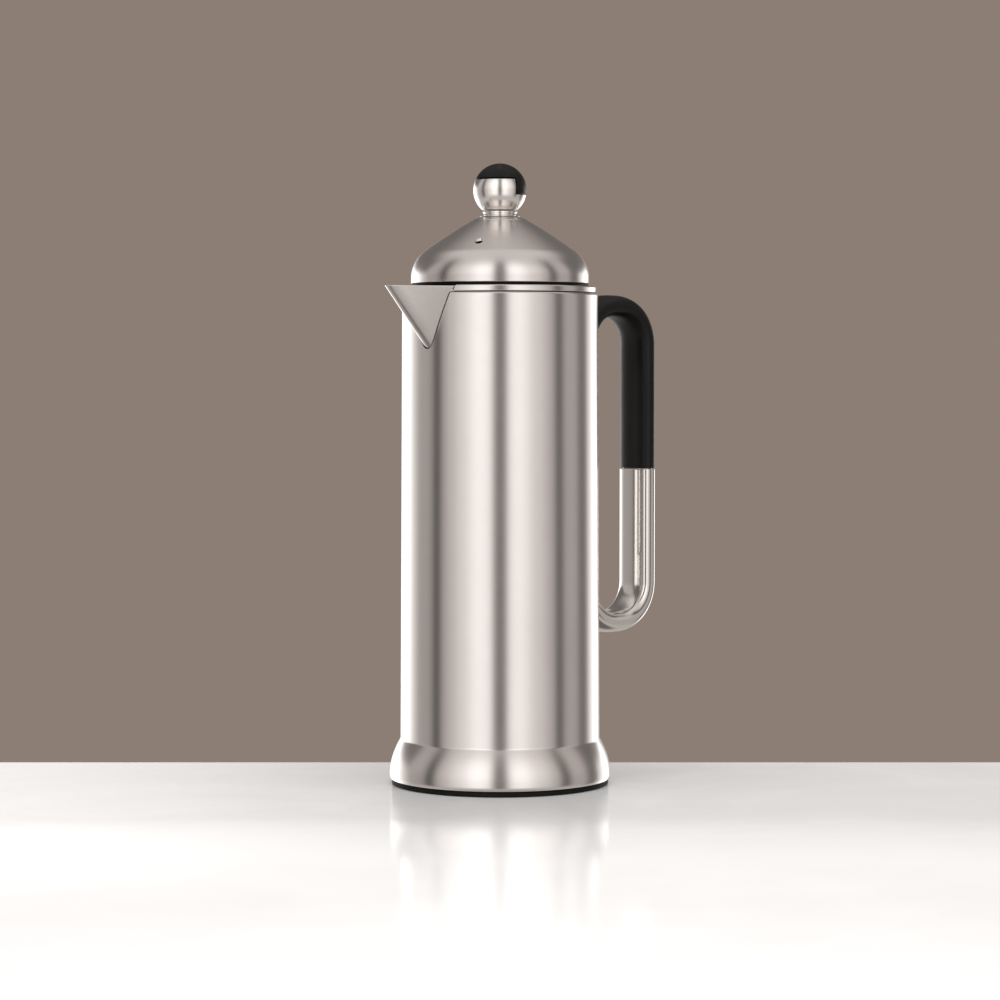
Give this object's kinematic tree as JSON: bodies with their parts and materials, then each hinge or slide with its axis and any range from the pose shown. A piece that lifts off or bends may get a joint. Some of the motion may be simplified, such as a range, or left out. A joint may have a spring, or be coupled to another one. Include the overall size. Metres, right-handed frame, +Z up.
{
  "type": "french press",
  "caption": "Double-walled steel french press with a folded spout, a flattened tube handle, a domed lid and a ball-knobbed plunger with a filter.",
  "frame": {"origin": "centre of the flat underside that the press stands on", "axes": "+Z up along the vessel's axis, -X towards the spout, +X towards the handle"},
  "size_m": [0.18, 0.1108, 0.3098],
  "materials": {
    "satin_steel": "satin, fine brushed grain round the axis",
    "tube_steel": "polished satin",
    "plain_steel": "plain mill finish, out of sight",
    "rod_steel": "drawn and polished rod",
    "filter_steel": "pressed sheet and spring wire",
    "mesh_steel": "fine woven wire",
    "grip_black": "matte black with a soft sheen",
    "liner_black": "matte black moulding",
    "pad_black": "matte black rubber",
    "seal_silicone": "translucent grey silicone, matte",
    "guide_nylon": "natural nylon",
    "insert_brass": "turned and knurled"
  },
  "bodies": {
    "vessel": {"outer_shell": "satin_steel", "inner_vessel": "satin_steel", "spout": "satin_steel", "base_plate": "plain_steel", "base_pad": "pad_black", "handle_tube": "tube_steel", "tube_end_plug": "plain_steel", "handle_core": "plain_steel", "handle_grip": "grip_black", "grip_weld_pad": "plain_steel"},
    "seal_ring": {"lid_seal": "seal_silicone"},
    "lid": {"lid_dome": "satin_steel", "lid_liner": "liner_black", "neck_collar": "tube_steel", "collar_nut": "plain_steel"},
    "guide_bush": {"rod_guide": "guide_nylon"},
    "plunger": {"knob_ball": "tube_steel", "knob_cap": "grip_black", "knob_insert": "insert_brass", "plunger_rod": "rod_steel", "spiral_plate": "filter_steel", "filter_spring": "filter_steel", "mesh_screen": "mesh_steel", "cross_plate": "filter_steel", "filter_hub": "filter_steel"}
  },
  "joints": [
    {"name": "lid_lift", "type": "slide", "parent": "vessel", "child": "seal_ring", "axis": [0, 0, 1], "range_m": [0, 0.26]},
    {"name": "lid_turn", "type": "hinge", "parent": "seal_ring", "child": "lid", "pos_m": [0, 0, 0.2487], "axis": [0, 0, 1], "continuous": true},
    {"name": "plunger_turn", "type": "hinge", "parent": "lid", "child": "guide_bush", "pos_m": [0, 0, 0.28], "axis": [0, 0, 1], "continuous": true},
    {"name": "plunger_slide", "type": "slide", "parent": "guide_bush", "child": "plunger", "axis": [0, 0, 1], "range_m": [0, 0.212]}
  ]
}
